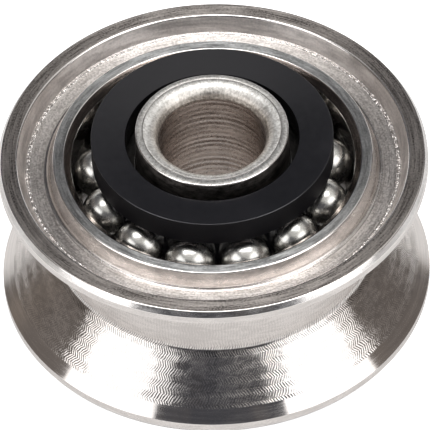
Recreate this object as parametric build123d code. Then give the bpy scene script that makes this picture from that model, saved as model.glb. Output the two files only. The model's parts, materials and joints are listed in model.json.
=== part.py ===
"""V-groove track roller with a double row of angular contact balls.

Millimetres, +Z along the bore axis, origin at the centre of the bore.
The roller is symmetric about the plane z = 0, so each side is drawn once
and mirrored.  Radii are measured from the bore axis, heights from z = 0.
"""
import math
import os

from build123d import *

# ---- driving dimensions -------------------------------------------------
outer_diameter = 24.0        # over the two running lands
outer_width = 9.8            # outer ring, side face to side face
bore_diameter = 6.0
inner_width = 14.1           # inner ring halves together, end to end
ball_diameter = 2.778        # 7/64 inch ball
balls_per_row = 13
pitch_radius = 6.46          # circle that the ball centres run on
row_height = 3.1             # ball centres above and below z = 0
contact_angle = 30.0         # degrees, back-to-back arrangement

# ---- outer ring ---------------------------------------------------------
groove_angle = 90.0          # included angle of the V
groove_root_radius = 9.04    # narrow cylindrical band at the bottom of the V
land_top = 4.15              # land runs from here up to the rim chamfer
rim_chamfer_width = 0.183
rim_chamfer_height = 0.325
rim_inner_radius = 10.92     # the flat rim ends here
relief_outer_radius = 10.434
relief_outer_depth = 0.865
relief_inner_radius = 9.217
relief_inner_depth = 1.02
lip_outer_radius = 8.922
lip_inner_radius = 8.31
lip_chamfer_radius = 7.917
lip_chamfer_depth = 0.355
outer_shoulder_radius = 7.35

# ---- inner ring halves --------------------------------------------------
neck_radius = 4.27           # plain end that stands proud of the cage
end_face_outer_radius = 3.90  # the flat end face is a thin ring
end_face_inner_radius = 3.80
end_bevel_depth = 0.07       # from the end face down to the neck
mouth_radius = 3.45          # the mouth steepens twice on its way to the bore
mouth_depth = 0.13
throat_radius = 3.15
throat_depth = 0.35
bore_edge_depth = 0.71
inner_shoulder_radius = 5.5
inner_shoulder_top = 4.52
split_chamfer = 0.15         # on both bore edges where the halves meet

# ---- cages --------------------------------------------------------------
cage_outer_radius = 6.747
cage_inner_radius = 4.845
cage_top = 6.5
cage_ring_bottom = 4.95
cage_edge_break = 0.08
finger_outer_radius = 6.25   # the fingers stand back from the ring's outer wall
finger_inner_radius = 5.75
finger_bottom = 2.35

# ---- fits ---------------------------------------------------------------
race_conformity = 0.52       # race groove radius over ball diameter
race_clearance = 0.02        # ball to race, along the contact line
pocket_clearance = 0.06      # ball to cage pocket

# ---- values that follow from the ones above -----------------------------
land_radius = outer_diameter / 2
side_face = outer_width / 2
end_face = inner_width / 2
bore_radius = bore_diameter / 2
ball_radius = ball_diameter / 2
pitch_step = 360.0 / balls_per_row
race_radius = race_conformity * ball_diameter
race_shift = race_radius - ball_radius - race_clearance
shift_radial = race_shift * math.cos(math.radians(contact_angle))
shift_axial = race_shift * math.sin(math.radians(contact_angle))


def lathe(profile):
    """Closed solid of revolution from (radius, height) corners."""
    corners = [(radius, 0, height) for radius, height in profile]
    face = make_face(Polyline(*corners, close=True))
    return revolve(face, Axis.Z, 360)


def torus_at(centre_radius, tube_radius, height):
    return Pos(0, 0, height) * Torus(centre_radius, tube_radius)


def outer_ring():
    """Running lands, V groove, relieved side faces and two outer races."""
    race_centre_radius = pitch_radius - shift_radial
    race_centre_height = row_height + shift_axial
    race_bottom = race_centre_radius + race_radius
    half_angle = math.radians(groove_angle / 2)
    groove_depth = land_radius - groove_root_radius
    root_half_width = land_top - groove_depth * math.tan(half_angle)
    upper_side = [
        (outer_shoulder_radius, race_centre_height),
        (race_bottom, race_centre_height),
        (lip_chamfer_radius, side_face - lip_chamfer_depth),
        (lip_inner_radius, side_face),
        (lip_outer_radius, side_face),
        (relief_inner_radius, side_face - relief_inner_depth),
        (relief_outer_radius, side_face - relief_outer_depth),
        (rim_inner_radius, side_face),
        (land_radius - rim_chamfer_width, side_face),
        (land_radius, side_face - rim_chamfer_height),
        (land_radius, land_top),
        (groove_root_radius, root_half_width),
    ]
    lower_side = [(radius, -height) for radius, height in reversed(upper_side)]
    ring = lathe(upper_side + lower_side)
    for height in (race_centre_height, -race_centre_height):
        ring -= torus_at(race_centre_radius, race_radius, height)
    return ring


def inner_ring_half():
    """Upper half: bore, eased mouth, plain neck, shoulder and inner race."""
    race_centre_radius = pitch_radius + shift_radial
    race_centre_height = row_height - shift_axial
    race_bottom = race_centre_radius - race_radius
    half = lathe([
        (bore_radius + split_chamfer, 0),
        (race_bottom, 0),
        (race_bottom, race_centre_height),
        (inner_shoulder_radius, race_centre_height),
        (inner_shoulder_radius, inner_shoulder_top),
        (neck_radius, inner_shoulder_top),
        (neck_radius, end_face - end_bevel_depth),
        (end_face_outer_radius, end_face),
        (end_face_inner_radius, end_face),
        (mouth_radius, end_face - mouth_depth),
        (throat_radius, end_face - throat_depth),
        (bore_radius, end_face - bore_edge_depth),
        (bore_radius, split_chamfer),
    ])
    return half - torus_at(race_centre_radius, race_radius, race_centre_height)


def ball_places(phase):
    """Centres of one row, anticlockwise from +X, turned by phase degrees."""
    for number in range(balls_per_row):
        angle = math.radians(phase + number * pitch_step)
        yield pitch_radius * math.cos(angle), pitch_radius * math.sin(angle)


def snap_cage(phase):
    """Upper crown cage: a thick ring whose fingers close on each ball."""
    cage = lathe([
        (cage_inner_radius, cage_ring_bottom),
        (finger_inner_radius, cage_ring_bottom),
        (finger_inner_radius, finger_bottom),
        (finger_outer_radius, finger_bottom),
        (finger_outer_radius, cage_ring_bottom),
        (cage_outer_radius, cage_ring_bottom),
        (cage_outer_radius, cage_top - cage_edge_break),
        (cage_outer_radius - cage_edge_break, cage_top),
        (cage_inner_radius + cage_edge_break, cage_top),
        (cage_inner_radius, cage_top - cage_edge_break),
    ])
    pocket = Sphere(ball_radius + pocket_clearance)
    for x, y in ball_places(phase):
        cage -= Pos(x, y, row_height) * pocket
    return cage


def save(name, shape):
    shape.label = name
    export_step(shape, f"parts/{name}.step")


os.makedirs("parts", exist_ok=True)
save("outer_ring", outer_ring())

upper_phase = 0.0
lower_phase = pitch_step / 2      # the two rows sit half a ball step apart
save("inner_ring_upper", inner_ring_half())
save("inner_ring_lower", mirror(inner_ring_half(), about=Plane.XY))
save("cage_upper", snap_cage(upper_phase))
save("cage_lower", mirror(snap_cage(lower_phase), about=Plane.XY))

for row, phase, height in (("upper", upper_phase, row_height), ("lower", lower_phase, -row_height)):
    for number, (x, y) in enumerate(ball_places(phase), start=1):
        save(f"ball_{row}_{number:02d}", Pos(x, y, height) * Sphere(ball_radius))
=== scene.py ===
"""Looks of the V-groove track roller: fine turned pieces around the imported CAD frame.

Radii and heights are in millimetres from the centre of the bore, +Z along its axis.
Every profile is drawn for the upper side, and its mirror image makes the lower one.
"""
import json
import math
from collections import namedtuple

import bmesh
import bpy
from mathutils import Matrix, Vector


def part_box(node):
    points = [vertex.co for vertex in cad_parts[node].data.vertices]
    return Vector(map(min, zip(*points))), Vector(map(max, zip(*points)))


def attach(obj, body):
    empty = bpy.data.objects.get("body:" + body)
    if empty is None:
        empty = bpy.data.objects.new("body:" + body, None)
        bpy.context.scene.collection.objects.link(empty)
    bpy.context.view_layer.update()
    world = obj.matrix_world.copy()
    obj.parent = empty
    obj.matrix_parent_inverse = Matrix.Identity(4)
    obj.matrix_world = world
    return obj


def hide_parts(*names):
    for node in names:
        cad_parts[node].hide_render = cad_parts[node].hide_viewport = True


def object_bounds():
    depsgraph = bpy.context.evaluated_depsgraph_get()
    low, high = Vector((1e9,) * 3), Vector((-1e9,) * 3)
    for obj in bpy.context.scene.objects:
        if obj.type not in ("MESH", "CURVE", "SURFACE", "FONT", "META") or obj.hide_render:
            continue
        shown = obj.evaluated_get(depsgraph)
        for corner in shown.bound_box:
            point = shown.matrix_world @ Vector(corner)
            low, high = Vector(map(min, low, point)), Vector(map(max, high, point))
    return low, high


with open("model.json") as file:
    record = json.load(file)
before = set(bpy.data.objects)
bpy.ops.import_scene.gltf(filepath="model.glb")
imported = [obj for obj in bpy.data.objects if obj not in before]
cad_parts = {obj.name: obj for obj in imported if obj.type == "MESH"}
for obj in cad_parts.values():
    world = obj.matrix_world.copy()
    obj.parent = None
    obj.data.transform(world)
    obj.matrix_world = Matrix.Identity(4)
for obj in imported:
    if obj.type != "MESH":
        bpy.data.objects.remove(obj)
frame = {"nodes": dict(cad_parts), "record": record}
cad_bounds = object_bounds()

MM = 0.001                      # the scene is in metres
SEGMENTS = 384                  # faces around the axis
BALL_CUTS = 20                  # faces along each edge of the cube that a ball is made from
POCKET_CUTS = 16


# ---------------------------------------------------------------- sizes from the frame

def top(node):
    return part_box(node)[1].z / MM


def outer_radius(node):
    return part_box(node)[1].x / MM


LAND = outer_radius("outer_ring")
SIDE = top("outer_ring")
END = top("inner_ring_upper")
CAGE = outer_radius("cage_upper")
CAGE_TOP = top("cage_upper")
FINGER_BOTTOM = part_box("cage_upper")[0].z / MM
BALL_LOW, BALL_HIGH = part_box("ball_upper_01")
BALL = (BALL_HIGH.z - BALL_LOW.z) / 2 / MM
PITCH = (BALL_HIGH.x + BALL_LOW.x) / 2 / MM
ROW = (BALL_HIGH.z + BALL_LOW.z) / 2 / MM
BALLS_PER_ROW = sum(name.startswith("ball_upper_") for name in frame["nodes"])
BORE = next(m for m in frame["record"]["mounts"] if m["name"] == "bore")["dims"]["r_mm"]

# ---------------------------------------------------------------- sizes the frame doesn't state

# outer ring: radii, and depths below the side face
LAND_TOP = 4.15                 # height where the V meets the running land
ROOT = 9.04                     # bottom of the V
STROKES_OUTER = 11.38           # the cutter's strokes on the flank end here
STROKES_INNER = 9.34            # and are darker from here to the root
RIM_CHAMFER = 0.183             # width
RIM_CHAMFER_DEPTH = 0.325
RIM_INNER = 10.92
RELIEF_OUTER = 10.434
RELIEF_OUTER_DEPTH = 0.865
RELIEF_INNER = 9.217
RELIEF_INNER_DEPTH = 1.02
BURR = ((10.23, 0.890), (10.32, 0.842), (10.40, 0.870))     # radius and depth of each corner
LIP_OUTER = 8.922
LIP_INNER = 8.31
LIP_CHAMFER = 7.917
LIP_CHAMFER_DEPTH = 0.355
OUTER_SHOULDER = 7.35

# inner ring: radii, and depths below the end face
NECK = 4.27
NECK_DEPTH = 0.07
CROWN_OUTER = 3.90
CROWN_LINE = ((3.885, 0.012), (3.855, 0.012))               # radius and depth of each corner
CROWN_INNER = 3.84
CROWN_INNER_DEPTH = 0.004
MOUTH = 3.45
MOUTH_DEPTH = 0.13
THROAT = 3.15
THROAT_DEPTH = 0.35
BORE_EDGE_DEPTH = 0.71
SPLIT_CHAMFER = 0.15            # width and height, where the two halves meet
SHOULDER = 5.5
SHOULDER_TOP = 4.52             # height

# cage: radii and heights
CAGE_BORE = 4.845
CAGE_CREST_DEPTH = 0.09         # the top face falls by this much towards the cage's bore
RING_BOTTOM = 4.95
FINGER_INNER = 5.75
FINGER_OUTER = 6.25

# races and pockets
CONTACT = math.radians(30)
CONFORMITY = 0.52               # race radius over ball diameter
RACE_CLEARANCE = 0.02           # ball to race, along the contact line
POCKET_CLEARANCE = 0.06         # ball to cage pocket
RACE = CONFORMITY * 2 * BALL
RACE_SHIFT = RACE - BALL - RACE_CLEARANCE       # from a ball's centre to its race's
POCKET = BALL + POCKET_CLEARANCE


# ---------------------------------------------------------------- profiles

class Corner:
    """A corner of a profile.

    finish names the surface from here to the next corner, ease is the radius
    that the corner is rounded to and rounding that arc's finish. waves gives
    the pitch and depth of feed marks on the way to the next corner.
    """

    def __init__(self, radius, height, finish, ease=0.0, waves=None, rounding="edge"):
        self.radius = radius
        self.height = height
        self.finish = finish
        self.ease = ease
        self.waves = waves
        self.rounding = rounding


def mirrored(corners):
    """The same outline below the middle, run through in the opposite order."""
    turned_over = []
    for i in reversed(range(len(corners))):
        here = corners[i]
        before = corners[i - 1]
        turned_over.append(Corner(
            here.radius, -here.height, before.finish, here.ease, before.waves, here.rounding,
        ))
    return turned_over


Station = namedtuple("Station", "place facing finish")
NO_BEND = 1e-4                  # radians
ARC_STEP = math.radians(15)
STEPS_PER_WAVE = 8


def winding(points):
    """1 for a closed line that runs anticlockwise, -1 for a clockwise one."""
    pairs = zip(points[-1:] + points[:-1], points)
    return 1.0 if sum(a.x * b.y - b.x * a.y for a, b in pairs) > 0 else -1.0


def outward(direction, side):
    return Vector((direction.y, -direction.x)) * side


def round_corner(point, before, after, side, corner):
    """Stations for one corner: one, or an arc of them where the corner is eased."""
    bend = before.cross(after)
    angle = math.atan2(bend, before.dot(after))
    if corner.ease <= 0 or abs(angle) <= NO_BEND:
        facing = (outward(before, side) + outward(after, side)).normalized()
        return [Station(point.copy(), facing, corner.finish)]
    reach = corner.ease * math.tan(abs(angle) / 2)
    start = point - before * reach
    swell = 1.0 if bend * side > 0 else -1.0
    centre = start - outward(before, side) * corner.ease * swell
    steps = max(3, math.ceil(abs(angle) / ARC_STEP))
    arc = []
    for step in range(steps + 1):
        facing = outward(before, side)
        facing.rotate(Matrix.Rotation(angle * step / steps, 2))
        place = centre + facing * corner.ease * swell
        arc.append(Station(place, facing, corner.rounding if step < steps else corner.finish))
    return arc


def feed_marks(start, end, facing, corner):
    """Stations between two corners that follow a tool's feed marks, uneven as real ones are."""
    pitch, depth = corner.waves
    length = (end - start).length
    steps = int(length / pitch * STEPS_PER_WAVE)
    along = (end - start).normalized()
    marks = []
    for step in range(1, steps - 2):
        place = length * step / steps
        drift = 0.35 * math.sin(place * 2.1) + 0.25 * math.sin(place * 5.3 + 1)
        phase = 2 * math.pi * place / pitch + drift
        swell = 0.65 + 0.35 * math.sin(place * 3.7 + 2)
        lift = depth * swell * math.sin(phase)
        slope = depth * swell * math.cos(phase) * 2 * math.pi / pitch
        marks.append(Station(
            start + along * place + facing * lift,
            (facing - along * slope).normalized(),
            corner.finish,
        ))
    return marks


def trace(corners):
    """Turns corners into a closed line of stations."""
    points = [Vector((c.radius, c.height)) for c in corners]
    side = winding(points)
    stations = []
    for i, corner in enumerate(corners):
        following = points[(i + 1) % len(points)]
        before = (points[i] - points[i - 1]).normalized()
        after = (following - points[i]).normalized()
        stations += round_corner(points[i], before, after, side, corner)
        if corner.waves:
            stations += feed_marks(stations[-1].place, following, outward(after, side), corner)
    return stations


def race_corners(centre_radius, centre_height, start, end, steps=14):
    """Points along a ball race, at angles in degrees from the radial direction."""
    corners = []
    for step in range(steps + 1):
        angle = math.radians(start + (end - start) * step / steps)
        radius = centre_radius + RACE * math.cos(angle)
        height = centre_height + RACE * math.sin(angle)
        corners.append(Corner(radius, height, "race"))
    return corners


def on_flank(radius, finish, *rest):
    """A corner on the 45 degree flank of the V."""
    return Corner(radius, LAND_TOP - (LAND - radius), finish, *rest)


def outer_ring_corners():
    """Lands, V groove, relieved side faces and the two outer races."""
    centre_radius = PITCH - RACE_SHIFT * math.cos(CONTACT)
    centre_height = ROW + RACE_SHIFT * math.sin(CONTACT)
    shoulder_angle = -math.degrees(math.acos((OUTER_SHOULDER - centre_radius) / RACE))
    race = race_corners(centre_radius, centre_height, shoulder_angle, 0)
    race[0].ease = 0.05
    lip = [
        Corner(LIP_CHAMFER, SIDE - LIP_CHAMFER_DEPTH, "lip_chamfer", 0.07),
        Corner(LIP_INNER, SIDE, "lip_face", 0.09),
        Corner(LIP_OUTER, SIDE, "relief_inner_wall", 0.1),
    ]
    feed = (0.13, 0.004)
    relief = [Corner(RELIEF_INNER, SIDE - RELIEF_INNER_DEPTH, "relief_floor", 0.28, feed, "relief_fillet")]
    relief += [Corner(radius, SIDE - depth, "relief_burr", 0.02) for radius, depth in BURR]
    relief += [Corner(RELIEF_OUTER, SIDE - RELIEF_OUTER_DEPTH, "relief_outer_wall", 0.02)]
    rim = [
        Corner(RIM_INNER, SIDE, "rim_face", 0.13),
        Corner(LAND - RIM_CHAMFER, SIDE, "rim_chamfer", 0.09),
        Corner(LAND, SIDE - RIM_CHAMFER_DEPTH, "land", 0.06),
    ]
    groove = [
        on_flank(LAND, "flank_outer", 0.02),
        on_flank(STROKES_OUTER, "flank"),
        on_flank(STROKES_INNER, "flank_root"),
        on_flank(ROOT, "root", 0.4, None, "flank_root"),
    ]
    upper = race + lip + relief + rim + groove
    return upper + mirrored(upper)


def inner_ring_corners():
    """Upper half: eased mouth, ringed bore, plain neck, shoulder and inner race."""
    centre_radius = PITCH + RACE_SHIFT * math.cos(CONTACT)
    centre_height = ROW - RACE_SHIFT * math.sin(CONTACT)
    top_angle = 180 - math.degrees(math.acos((centre_radius - SHOULDER) / RACE))
    race = race_corners(centre_radius, centre_height, 180, top_angle)
    race[-1].finish = "neck"
    race[-1].ease = 0.05
    joint = [
        Corner(BORE + SPLIT_CHAMFER, 0, "joint_face"),
        Corner(race[0].radius, 0, "race", 0.04),
    ]
    neck = [
        Corner(SHOULDER, SHOULDER_TOP, "shoulder", 0.06),
        Corner(NECK, SHOULDER_TOP, "neck", 0.1),
        Corner(NECK, END - NECK_DEPTH, "mouth_rim", 0.07),
    ]
    crown = [Corner(CROWN_OUTER, END, "crown_line")]
    crown += [Corner(radius, END - depth, "crown_line") for radius, depth in CROWN_LINE]
    rings = (0.37, 0.011)
    mouth = [
        Corner(CROWN_INNER, END - CROWN_INNER_DEPTH, "mouth"),
        Corner(MOUTH, END - MOUTH_DEPTH, "mouth", 0.75, None, "mouth"),
        Corner(THROAT, END - THROAT_DEPTH, "mouth", 0.5, None, "mouth"),
        Corner(BORE, END - BORE_EDGE_DEPTH, "bore", 0.3, rings, "mouth"),
        Corner(BORE, SPLIT_CHAMFER, "joint_face", 0.02),
    ]
    return joint + race + neck + crown + mouth


def cage_corners():
    """The ring of a cage and the band that its fingers are cut from."""
    def corner(radius, height, finish, ease, rounding="cage_wall"):
        return Corner(radius, height, finish, ease, None, rounding)

    return [
        corner(CAGE_BORE, RING_BOTTOM, "cage", 0.05),
        corner(FINGER_INNER, RING_BOTTOM, "cage", 0.05),
        corner(FINGER_INNER, FINGER_BOTTOM, "cage", 0.04),
        corner(FINGER_OUTER, FINGER_BOTTOM, "cage", 0.04),
        corner(FINGER_OUTER, RING_BOTTOM, "cage", 0.06),
        corner(CAGE, RING_BOTTOM, "cage_wall", 0.04),
        corner(CAGE, CAGE_TOP, "cage", 0.035, "cage"),
        corner(CAGE_BORE, CAGE_TOP - CAGE_CREST_DEPTH, "cage_wall", 0.03),
    ]


# ---------------------------------------------------------------- node materials

Turned = namedtuple("Turned", "radius along angle turn")


class Shade:
    """A short way to write shader nodes: numbers and sockets are both accepted."""

    def __init__(self, owner, output="OutputMaterial"):
        self.owner = owner
        owner.use_nodes = True
        self.tree = owner.node_tree
        self.tree.nodes.clear()
        self.output = self.node(output)

    def node(self, kind, inputs=None, **settings):
        made = self.tree.nodes.new("ShaderNode" + kind)
        for key, value in settings.items():
            setattr(made, key, value)
        for key, value in (inputs or {}).items():
            self.put(made.inputs[key], value)
        return made

    def put(self, socket, value):
        if isinstance(value, bpy.types.NodeSocket):
            self.tree.links.new(value, socket)
        elif isinstance(value, bpy.types.Node):
            self.tree.links.new(value.outputs[0], socket)
        else:
            socket.default_value = value

    def math(self, operation, *values):
        made = self.node("Math", operation=operation)
        for socket, value in zip(made.inputs, values):
            self.put(socket, value)
        return made.outputs[0]

    def add(self, first, second):
        return self.math("ADD", first, second)

    def times(self, first, second):
        return self.math("MULTIPLY", first, second)

    def blend(self, first, share, second):
        """first times share plus second times the rest."""
        return self.add(self.times(first, share), self.times(second, 1 - share))

    def ramp(self, value, low, high, to_low=0.0, to_high=1.0):
        return self.node("MapRange", {
            "Value": value, "From Min": low, "From Max": high,
            "To Min": to_low, "To Max": to_high,
        }).outputs["Result"]

    def mix(self, factor, first, second):
        made = self.node("Mix", data_type="RGBA")
        self.put(made.inputs[0], factor)
        self.put(made.inputs[6], first)
        self.put(made.inputs[7], second)
        return made.outputs[2]

    def vector(self, x, y, z):
        return self.node("CombineXYZ", {0: x, 1: y, 2: z})

    def noise(self, vector, detail, rough=0.5, scale=1.0, distortion=0.0):
        return self.node("TexNoise", {
            "Vector": vector, "Scale": scale, "Detail": detail,
            "Roughness": rough, "Distortion": distortion,
        }).outputs[0]

    def place(self):
        return self.node("TexCoord").outputs["Object"]

    def turned(self):
        """Radius and distance along the profile in mm, angle, and the turn vector."""
        x, y, z = self.node("SeparateXYZ", {0: self.place()}).outputs
        flat = self.math("SQRT", self.add(self.times(x, x), self.times(y, y)))
        radius = self.math("DIVIDE", flat, MM)
        height = self.math("DIVIDE", z, MM)
        along = self.add(radius, self.math("ABSOLUTE", height))
        angle = self.math("ARCTAN2", y, x)
        turn = (self.math("DIVIDE", x, flat), self.math("DIVIDE", y, flat))
        return Turned(radius, along, angle, turn)

    def streaks(self, along, turn, per_mm, stretch, detail=3.0, rough=0.6):
        """Noise drawn out round the axis, as turning and grinding leave it."""
        drawn_out = self.vector(
            self.times(along, per_mm),
            self.times(turn[0], stretch),
            self.times(turn[1], stretch),
        )
        return self.noise(drawn_out, detail, rough)

    def speckle(self, scale, detail=4.0):
        return self.noise(self.place(), detail, scale=scale)

    def bump(self, height_mm):
        return self.node("Bump", {
            "Strength": 1.0, "Distance": MM, "Height": height_mm,
        }).outputs[0]

    def round_axis(self):
        """The tangent that anisotropic highlights are turned from."""
        return self.node("Tangent", direction_type="RADIAL", axis="Z")

    def surface(self, **inputs):
        shader = self.node("BsdfPrincipled")
        for key, value in inputs.items():
            self.put(shader.inputs[key.replace("_", " ")], value)
        self.tree.links.new(shader.outputs[0], self.output.inputs[0])
        return self.owner


ACROSS_LINES = 0.25             # highlights spread across marks that run round the axis
ALONG_LINES = 0.0               # highlights spread round the axis, across radial marks


def grey(level, warmth=0.045):
    """A slightly warm metal tone."""
    return (level * (1 + warmth), level * (1 - warmth / 4), level * (1 - warmth), 1)


def metal(name, light, dark, rough, spread, lines, depth, grain=2.0, fleck=0.25, extra=None, painted_relief_shading=0.0):
    """Bare steel whose marks run round the axis.

    rough is its roughness and spread how far highlights are drawn out. lines is
    the count of marks per mm, depth their depth in mm, grain how quickly a mark
    changes along its length and fleck the share of short specks. extra adds more
    relief, in mm, and the last argument paints that relief into the colour as
    painted shade in its hollows and painted highlight on its ridges.
    """
    s = Shade(bpy.data.materials.new(name))
    spot = s.turned()
    fine = s.streaks(spot.along, spot.turn, lines, grain * 4)
    broad = s.streaks(spot.along, spot.turn, lines * 0.22, grain, 2.0)
    marks = s.blend(s.blend(fine, 0.62, broad), 1 - fleck, s.speckle(9000, 2.0))
    relief = s.times(marks, depth)
    tone = marks
    if extra:
        added = extra(s, spot)
        relief = s.add(relief, added)
        # the extra relief is painted into the colour: painted shade in its hollows, painted highlight on its
        # ridges
        tone = s.add(tone, s.times(added, painted_relief_shading))
    patch = s.ramp(s.speckle(420), 0.35, 0.7, -0.03, 0.04)
    return s.surface(
        Base_Color=s.mix(s.ramp(tone, 0.41, 0.59), dark, light),
        Metallic=1.0,
        Roughness=s.add(s.ramp(marks, 0.4, 0.6, rough * 0.8, rough * 1.2), patch),
        Anisotropic=spread,
        Anisotropic_Rotation=ACROSS_LINES,
        Tangent=s.round_axis(),
        Normal=s.bump(relief),
    )


def chatter(depth, count=430, skew=15.0):
    """Slanting facets left by a form cutter, in rows that lean by turns to either side."""
    def relief(s, spot):
        around = s.times(spot.angle, count / math.pi)
        around = s.add(around, s.times(s.speckle(1800, 3.0), 3.6))
        climb = s.times(spot.along, skew / math.pi)
        rising = s.math("PINGPONG", s.add(around, climb), 1.0)
        falling = s.math("PINGPONG", s.math("SUBTRACT", around, climb), 1.0)
        row = s.math("SINE", s.add(s.times(spot.along, 6.0), 3.5))
        rise = s.ramp(row, -0.2, 0.2)
        fall = s.ramp(row, 0.2, -0.2)
        waves = s.add(s.times(rising, rise), s.times(falling, fall))
        near_root = s.ramp(spot.along, 10.4, 11.4, 1.2, 0.75)
        near_land = s.ramp(spot.along, 13.2, 14.4, 0.0, 0.3)
        on_the_flank = s.ramp(spot.along, 9.7, 10.15, 0.35, 1.0)
        swell = s.times(s.add(near_root, near_land), on_the_flank)
        centred = s.math("SUBTRACT", waves, 0.5)
        return s.times(s.times(centred, swell), depth)
    return relief


def pits(depth, scale):
    """Torn, chipped metal."""
    def relief(s, spot):
        return s.times(s.speckle(scale, 2.0), depth)
    return relief


def radial_grain(name, rough, spread):
    """Satin mouth: a frosted speckle over faint radial brushing, browner towards the bore."""
    s = Shade(bpy.data.materials.new(name))
    spot = s.turned()
    grain = s.streaks(spot.radius, spot.turn, 1.5, 50.0, 4.0, 0.65)
    blotch = s.streaks(spot.radius, spot.turn, 1.6, 5.0, 3.0)
    fine = s.blend(grain, 0.35, s.speckle(7000, 3.0))
    shade = s.blend(fine, 0.75, blotch)
    deep = s.ramp(spot.radius, 3.5, 3.0)
    light = s.mix(deep, (1.0, 0.985, 0.96, 1), (0.95, 0.89, 0.82, 1))
    dull = s.mix(deep, (0.66, 0.64, 0.61, 1), (0.5, 0.45, 0.4, 1))
    return s.surface(
        Base_Color=s.mix(s.ramp(shade, 0.42, 0.58), dull, light),
        Metallic=1.0,
        Roughness=s.ramp(shade, 0.3, 0.7, rough * 0.8, rough * 1.2),
        Anisotropic=spread,
        Anisotropic_Rotation=ALONG_LINES,
        Tangent=s.round_axis(),
        Normal=s.bump(s.times(fine, 0.009)),
    )


def polished(name):
    """Bearing ball: softly polished, with hair scratches and a faint cloudiness."""
    s = Shade(bpy.data.materials.new(name))
    hair = s.noise(s.place(), 3.0, scale=2600.0, distortion=2.5)
    cloud = s.speckle(900)
    return s.surface(
        Base_Color=s.mix(cloud, (0.66, 0.65, 0.62, 1), (0.74, 0.73, 0.7, 1)),
        Metallic=1.0,
        Roughness=s.ramp(s.add(cloud, s.times(hair, 0.5)), 0.6, 0.95, 0.24, 0.3),
        Normal=s.bump(s.times(hair, 0.00012)),
    )


def moulded(name, gloss, rough):
    """Black nylon with a fine moulded skin and a few handling marks."""
    s = Shade(bpy.data.materials.new(name))
    spot = s.turned()
    rub = s.streaks(spot.along, spot.turn, 3.0, 14.0, 4.0)
    tone = s.blend(s.speckle(260, 3.0), 0.6, rub)
    skin = s.speckle(2600, 3.0)
    return s.surface(
        Base_Color=s.mix(s.ramp(tone, 0.35, 0.65), (0.0045, 0.0045, 0.0055, 1), (0.008, 0.0078, 0.0095, 1)),
        Roughness=s.ramp(tone, 0.3, 0.7, rough * 0.85, rough * 1.2),
        Specular_IOR_Level=gloss,
        Specular_Tint=(0.95, 0.94, 1.0, 1),
        Normal=s.bump(s.add(s.times(skin, 0.0012), s.times(rub, 0.0015))),
    )


def side_face_finishes():
    """Lip, relief and rim of the outer ring."""
    return {
        "lip_face": metal(
            "steel_lip", grey(0.72, 0.0), grey(0.3, 0.0), rough=0.4, spread=0.75, lines=9.0, depth=0.005),
        "lip_chamfer": metal(
            "steel_lip_chamfer", grey(0.8, 0.14), grey(0.42, 0.15), rough=0.18, spread=0.2,
            lines=12.0, depth=0.004),
        "relief_inner_wall": metal(
            "steel_inner_wall", grey(0.85), grey(0.6), rough=0.22, spread=0.4, lines=5.0, depth=0.002),
        "relief_outer_wall": metal(
            "steel_outer_wall", grey(0.97, 0.05), grey(0.7, 0.05), rough=0.38, spread=0.3,
            lines=4.0, depth=0.003),
        "relief_floor": metal(
            "steel_relief_floor", grey(0.95, 0.04), grey(0.5, 0.07), rough=0.42, spread=0.7,
            lines=9.0, depth=0.008, fleck=0.45),
        "relief_fillet": metal(
            "steel_fillet", grey(0.72, 0.05), grey(0.5, 0.06), rough=0.24, spread=0.4,
            lines=7.0, depth=0.003),
        "relief_burr": metal(
            "steel_burr", grey(0.95), grey(0.5), rough=0.2, spread=0.2, lines=8.0, depth=0.002,
            grain=8.0, extra=pits(0.15, 5600)),
        "rim_face": metal(
            "steel_rim", grey(0.64, 0.07), grey(0.22, 0.09), rough=0.31, spread=0.75,
            lines=17.0, depth=0.006, grain=1.6, fleck=0.26),
        "rim_chamfer": metal(
            "steel_rim_chamfer", grey(0.88, 0.02), grey(0.6, 0.03), rough=0.2, spread=0.5,
            lines=7.0, depth=0.003),
    }


def groove_finishes():
    """Running lands and the V between them."""
    return {
        "land": metal("steel_land", grey(0.76), grey(0.62), rough=0.25, spread=0.5, lines=5.0, depth=0.001),
        "flank_outer": metal(
            "steel_flank_outer", grey(0.8), grey(0.68), rough=0.12, spread=0.4, lines=4.0, depth=0.0006,
            grain=0.8, fleck=0.1),
        # flank, flank_root and root carry their chatter relief in the colour as painted shade and painted
        # highlight
        "flank": metal(
            "steel_flank", grey(0.8), grey(0.56), rough=0.15, spread=0.2, lines=4.0, depth=0.0004,
            grain=6.0, fleck=0.2, extra=chatter(0.004), painted_relief_shading=60.0),
        "flank_root": metal(
            "steel_flank_root", grey(0.8), grey(0.3), rough=0.16, spread=0.2, lines=4.0, depth=0.0004,
            grain=6.0, fleck=0.2, extra=chatter(0.0034), painted_relief_shading=120.0),
        "root": metal(
            "steel_root", grey(0.69), grey(0.55, 0.05), rough=0.2, spread=0.3, lines=5.0, depth=0.0006,
            fleck=0.1, extra=chatter(0.0045, count=340, skew=5), painted_relief_shading=60.0),
    }


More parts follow.
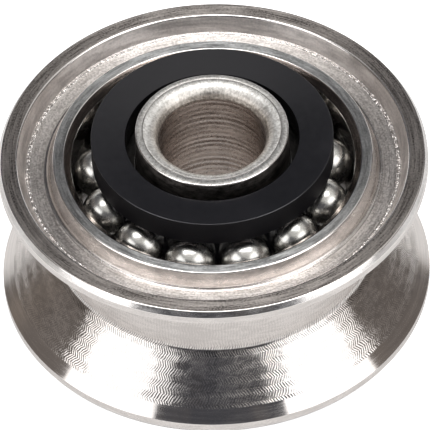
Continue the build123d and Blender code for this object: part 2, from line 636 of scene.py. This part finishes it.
def inner_ring_finishes():
    """Neck, mouth, bore and shoulder, with the races and edges of both rings."""
    return {
        "edge": metal(
            "steel_edge", grey(0.97, 0.03), grey(0.85, 0.03), rough=0.15, spread=0.2, lines=6.0, depth=0.001),
        "race": metal("steel_race", grey(0.6), grey(0.4), rough=0.15, spread=0.3, lines=6.0, depth=0.001),
        "neck": metal(
            "steel_neck", grey(0.32, 0.08), grey(0.12, 0.08), rough=0.4, spread=0.3, lines=7.0, depth=0.003),
        # the shoulder's near-black colour is painted shade: it darkens the face as the narrow gap under the
        # cage would
        "shoulder": metal(
            "steel_shoulder", grey(0.07), grey(0.025), rough=0.5, spread=0.2, lines=6.0, depth=0.004),
        "joint_face": metal(
            "steel_joint_face", grey(0.5), grey(0.3), rough=0.26, spread=0.5, lines=8.0, depth=0.001),
        "bore": metal(
            "steel_bore", grey(0.78, 0.08), grey(0.46, 0.08), rough=0.27, spread=0.6, lines=6.0,
            depth=0.0028, grain=1.0),
        "mouth_rim": radial_grain("steel_mouth_rim", 0.36, 0.0),
        "crown_line": metal(
            "steel_crown_line", grey(0.5), grey(0.3), rough=0.4, spread=0.3, lines=7.0, depth=0.001),
        "mouth": radial_grain("steel_mouth", 0.46, 0.2),
    }


FINISHES = {
    **side_face_finishes(),
    **groove_finishes(),
    **inner_ring_finishes(),
    "cage": moulded("cage_nylon", 1.0, 0.2),
    "cage_wall": moulded("cage_nylon_wall", 0.2, 0.4),
}
BALL_STEEL = polished("ball_polish")


# ---------------------------------------------------------------- pieces

def add_object(name, data):
    made = bpy.data.objects.new(name, data)
    bpy.context.scene.collection.objects.link(made)
    return made


def seat(piece, node, body=None):
    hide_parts(node)
    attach(piece, body or node)


def ring_faces(rows, forwards):
    """Quads between neighbouring rows of points around the axis, the last row joined to the first."""
    faces = []
    for row in range(rows):
        here = row * SEGMENTS
        following = (row + 1) % rows * SEGMENTS
        for step in range(SEGMENTS):
            ahead = (step + 1) % SEGMENTS
            face = (here + step, here + ahead, following + ahead, following + step)
            faces.append(face if forwards else face[::-1])
    return faces


def lathe(name, corners):
    """A closed turned piece with exact normals and one material per finish."""
    stations = trace(corners)
    angles = [2 * math.pi * step / SEGMENTS for step in range(SEGMENTS)]
    turns = [Vector((math.cos(angle), math.sin(angle))) for angle in angles]
    verts, normals = [], []
    for place, facing, _ in stations:
        verts += [(place.x * turn.x * MM, place.x * turn.y * MM, place.y * MM) for turn in turns]
        normals += [(facing.x * turn.x, facing.x * turn.y, facing.y) for turn in turns]
    faces = ring_faces(len(stations), winding([station.place for station in stations]) > 0)
    mesh = bpy.data.meshes.new(name)
    mesh.from_pydata(verts, [], faces)
    names = sorted({station.finish for station in stations})
    for finish in names:
        mesh.materials.append(FINISHES[finish])
    slots = [names.index(station.finish) for station in stations for _ in turns]
    mesh.polygons.foreach_set("material_index", slots)
    mesh.polygons.foreach_set("use_smooth", [True] * len(faces))
    mesh.update()
    mesh.normals_split_custom_set_from_vertices(normals)
    return add_object(name, mesh)


def cube_side(axis, sign, cuts):
    """Points of one side of a cube, spaced so that they are even when pushed out to a ball."""
    for i in range(cuts + 1):
        for j in range(cuts + 1):
            point = [0, 0, 0]
            point[axis] = sign
            point[(axis + 1) % 3] = math.tan((i / cuts - 0.5) * math.pi / 2)
            point[(axis + 2) % 3] = math.tan((j / cuts - 0.5) * math.pi / 2) * sign
            yield Vector(point)


def ball_mesh(name, radius_mm, cuts):
    """A ball from an evenly divided cube, so that no poles show."""
    verts, faces = [], []
    for axis in range(3):
        for sign in (1, -1):
            base = len(verts)
            verts += [tuple(point.normalized() * radius_mm * MM) for point in cube_side(axis, sign, cuts)]
            for i in range(cuts):
                for j in range(cuts):
                    a = base + i * (cuts + 1) + j
                    faces.append((a, a + cuts + 1, a + cuts + 2, a + 1))
    mesh = bpy.data.meshes.new(name)
    mesh.from_pydata(verts, [], faces)
    work = bmesh.new()
    work.from_mesh(mesh)
    bmesh.ops.remove_doubles(work, verts=work.verts, dist=1e-7)
    bmesh.ops.recalc_face_normals(work, faces=work.faces)
    work.to_mesh(mesh)
    work.free()
    mesh.polygons.foreach_set("use_smooth", [True] * len(mesh.polygons))
    mesh.update()
    return mesh


def middle(node):
    low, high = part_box(node)
    return (low + high) / 2


def place_balls():
    mesh = ball_mesh("ball", BALL, BALL_CUTS)
    mesh.materials.append(BALL_STEEL)
    for node in sorted(frame["nodes"]):
        if node.startswith("ball_"):
            piece = add_object(node + "_polished", mesh)
            piece.location = middle(node)
            seat(piece, node)


def pocket_cutters(row):
    """One object that holds a round cutter for each ball of the row."""
    cutter = ball_mesh("pocket", POCKET, POCKET_CUTS)
    work = bmesh.new()
    for number in range(1, BALLS_PER_ROW + 1):
        start = len(work.verts)
        work.from_mesh(cutter)
        work.verts.ensure_lookup_table()
        bmesh.ops.translate(work, verts=work.verts[start:], vec=middle(f"ball_{row}_{number:02d}"))
    mesh = bpy.data.meshes.new("pocket_cutters")
    work.to_mesh(mesh)
    work.free()
    return add_object("pocket_cutters", mesh)


def cut_pockets(piece, row):
    tool = pocket_cutters(row)
    cut = piece.modifiers.new("pockets", "BOOLEAN")
    cut.operation = "DIFFERENCE"
    cut.solver = "EXACT"
    cut.object = tool
    graph = bpy.context.evaluated_depsgraph_get()
    done = bpy.data.meshes.new_from_object(piece.evaluated_get(graph))
    piece.modifiers.clear()
    piece.data = done
    bpy.data.objects.remove(tool)
    bpy.context.view_layer.update()


def place_rings():
    seat(lathe("outer_ring_turned", outer_ring_corners()), "outer_ring")
    half = inner_ring_corners()
    for row, corners in (("upper", half), ("lower", mirrored(half))):
        piece = lathe(f"inner_ring_{row}_turned", corners)
        seat(piece, f"inner_ring_{row}", "inner_ring")


def place_cages():
    cage = cage_corners()
    for row, corners in (("upper", cage), ("lower", mirrored(cage))):
        piece = lathe(f"cage_{row}_moulded", corners)
        cut_pockets(piece, row)
        seat(piece, f"cage_{row}")


# ---------------------------------------------------------------- stage, light and camera

AZIMUTH = math.radians(-7.67)
ELEVATION = math.radians(46.48)
ROLL = math.radians(-1.95)
DISTANCE = 0.591                # camera to the middle of the upper side face
LENS = 889                      # mm
SENSOR = 36                     # mm
FRAME_SHIFT = (0.0053, -0.1379)  # right and up, in widths of the picture
SOFTBOX_DISTANCE = 0.2
WHITE = (1, 1, 1, 1)


def direction(azimuth, elevation):
    """Unit vector towards azimuth degrees right of the camera, elevation degrees up."""
    a = AZIMUTH + math.radians(azimuth)
    e = math.radians(elevation)
    return Vector((math.sin(a) * math.cos(e), -math.cos(a) * math.cos(e), math.sin(e)))


def softbox(name, azimuth, elevation, wide, tall, brightness):
    """A rectangular studio light that faces the object."""
    light = bpy.data.lights.new(name, "AREA")
    light.shape = "RECTANGLE"
    light.size = wide
    light.size_y = tall
    light.energy = brightness * math.pi * wide * tall
    lamp = add_object(name, light)
    back = direction(azimuth, elevation)
    lamp.location = back * SOFTBOX_DISTANCE
    lamp.rotation_mode = "QUATERNION"
    lamp.rotation_quaternion = back.to_track_quat("Z", "Y")


def floor_material():
    s = Shade(bpy.data.materials.new("pale_floor"))
    seen_by_camera = s.node("LightPath").outputs["Is Camera Ray"]
    return s.surface(
        Base_Color=s.mix(s.speckle(14, 3.0), (0.62, 0.62, 0.62, 1), (0.66, 0.66, 0.66, 1)),
        Roughness=0.6,
        Specular_IOR_Level=0.2,
        Emission_Color=WHITE,
        Emission_Strength=s.ramp(seen_by_camera, 0, 1, 0.3, 1.0),
    )


def pale_floor():
    reach = 1.5
    level = cad_bounds[0].z
    corners = [(x, y, level) for x, y in ((-reach, -reach), (reach, -reach), (reach, reach), (-reach, reach))]
    mesh = bpy.data.meshes.new("floor")
    mesh.from_pydata(corners, [], [(0, 1, 2, 3)])
    mesh.materials.append(floor_material())
    add_object("floor", mesh)


def room_colour(s, x, y, z):
    """What the metal mirrors: dim walls, browner to the sides, a pale ceiling and a sheet behind."""
    patches = s.noise(s.vector(s.times(x, 7.0), y, s.times(z, 1.5)), 2.0)
    aside = s.ramp(s.math("ABSOLUTE", x), 0.55, 0.9)
    brown = s.add(s.times(aside, 0.75), s.ramp(patches, 0.4, 0.65, -0.15, 0.25))
    wall = s.mix(brown, (0.07, 0.072, 0.082, 1), (0.22, 0.19, 0.165, 1))
    ceiling = s.ramp(s.add(z, s.times(x, 0.2)), 0.74, 0.775)
    room = s.mix(ceiling, wall, (0.6, 0.59, 0.57, 1))
    low = s.ramp(z, 0.38, 0.26)
    behind = s.ramp(y, 0.66, 0.71)
    horizon = s.ramp(z, 0.035, 0.0)
    sheet = s.math("MAXIMUM", s.times(low, behind), horizon)
    return s.mix(sheet, room, (0.95, 0.94, 0.92, 1))


def studio_world():
    """White for the camera, and an uneven room for reflections."""
    world = bpy.data.worlds.new("studio")
    s = Shade(world, "OutputWorld")
    view = s.node("TexCoord").outputs["Generated"]
    ahead = s.node("VectorRotate", {"Vector": view, "Angle": -AZIMUTH}, rotation_type="Z_AXIS")
    mirrored_room = room_colour(s, *s.node("SeparateXYZ", {0: ahead}).outputs)
    seen_by_camera = s.node("LightPath").outputs["Is Camera Ray"]
    background = s.node("Background", {"Color": s.mix(seen_by_camera, mirrored_room, WHITE)})
    s.tree.links.new(background.outputs[0], s.output.inputs[0])
    bpy.context.scene.world = world


def product_camera():
    data = bpy.data.cameras.new("camera")
    data.sensor_width = SENSOR
    data.lens = LENS
    data.shift_x, data.shift_y = FRAME_SHIFT
    data.clip_start = 0.05
    data.clip_end = 10
    camera = add_object("camera", data)
    back = direction(0, math.degrees(ELEVATION))
    camera.location = Vector((0, 0, SIDE * MM)) + back * DISTANCE
    camera.rotation_mode = "QUATERNION"
    turn = (-back).to_track_quat("-Z", "Y")
    camera.rotation_quaternion = turn @ Matrix.Rotation(ROLL, 3, "Z").to_quaternion()
    bpy.context.scene.camera = camera


place_rings()
place_cages()
place_balls()

softbox("softbox_left", -57.5, 27, wide=0.14, tall=0.175, brightness=1.7)
softbox("softbox_right", 57, 29, wide=0.142, tall=0.195, brightness=1.7)
softbox("softbox_top", 180, 88, wide=0.178, tall=0.065, brightness=4.6)
pale_floor()
studio_world()
product_camera()
bpy.context.scene.view_settings.view_transform = "Standard"
